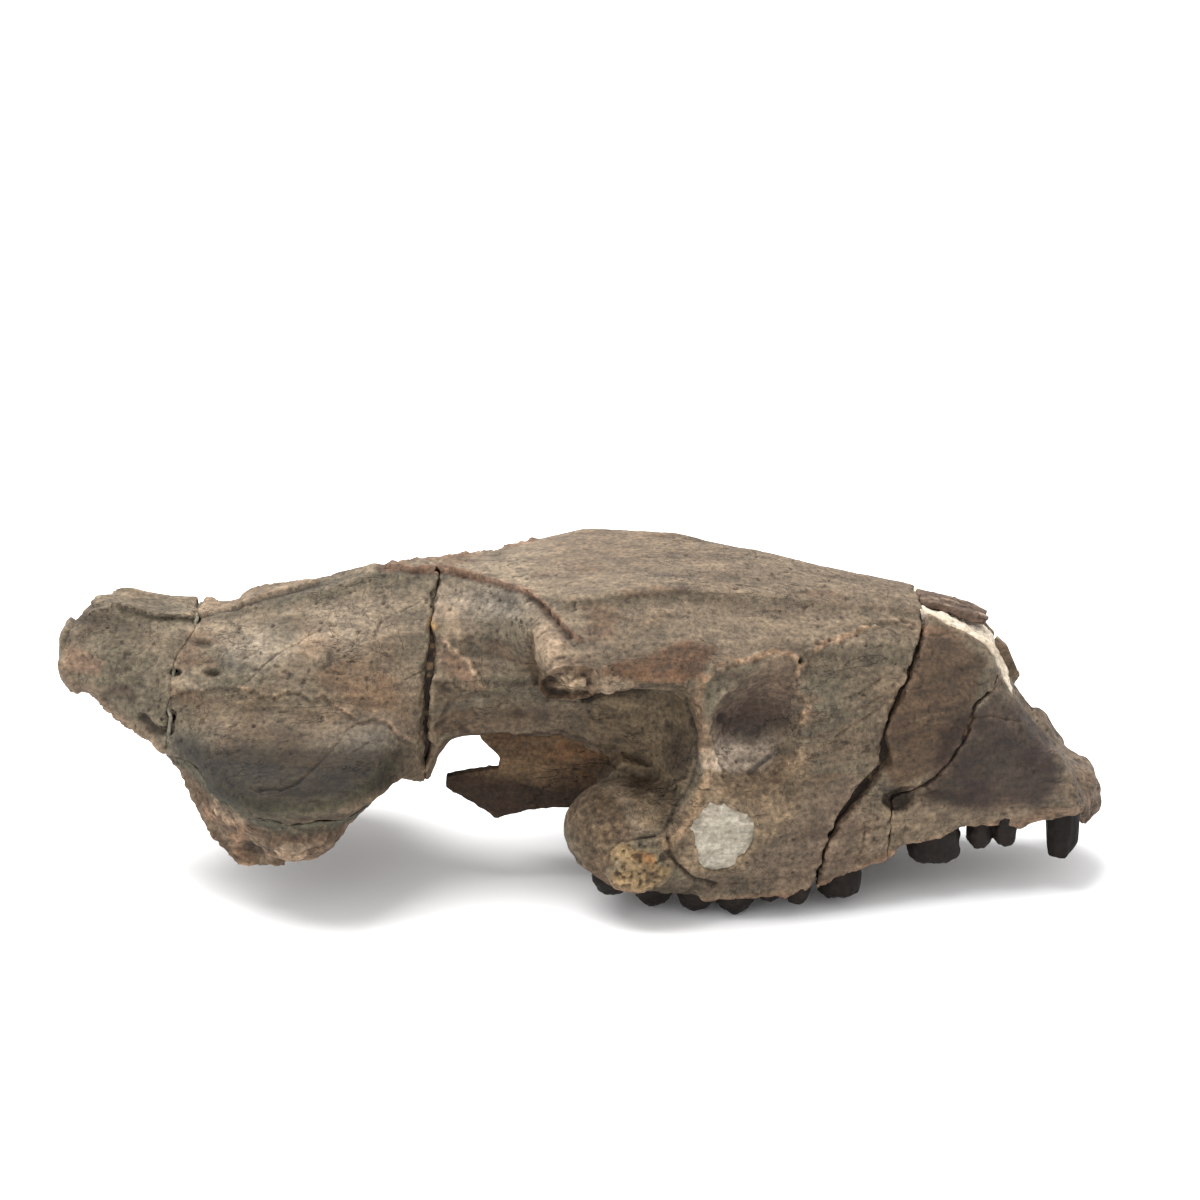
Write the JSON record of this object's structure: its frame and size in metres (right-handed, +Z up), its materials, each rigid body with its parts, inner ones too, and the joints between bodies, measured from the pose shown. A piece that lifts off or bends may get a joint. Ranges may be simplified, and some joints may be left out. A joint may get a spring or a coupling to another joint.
{
  "type": "fossil oreodont skull",
  "caption": "Life-size fossil cranium of an oreodont without lower jaw or cheek arches, cracked, with patches of pale rock, resting on its teeth",
  "frame": {"origin": "on the floor under the middle of the skull's length and width", "axes": "+X to the snout, +Z up, the skull's own right side faces -Y"},
  "size_m": [0.2102, 0.0758, 0.0662],
  "materials": {
    "bone": "matte fossil bone, brown-grey",
    "rough_bone": "rough broken fossil bone",
    "dark_bone": "smooth dark fossil bone with a faint sheen",
    "matrix": "matte pale siltstone"
  },
  "bodies": {
    "root": {"nuchal_crest": "bone", "braincase": "bone", "orbits_and_cheeks": "bone", "muzzle": "bone", "snout_tip": "dark_bone", "nasal_matrix": "matrix", "nasal_strip": "dark_bone", "cheek_matrix": "matrix", "arch_root_right": "rough_bone", "arch_root_left": "rough_bone", "pterygoid_wing_right": "rough_bone", "pterygoid_wing_left": "rough_bone"}
  },
  "joints": []
}
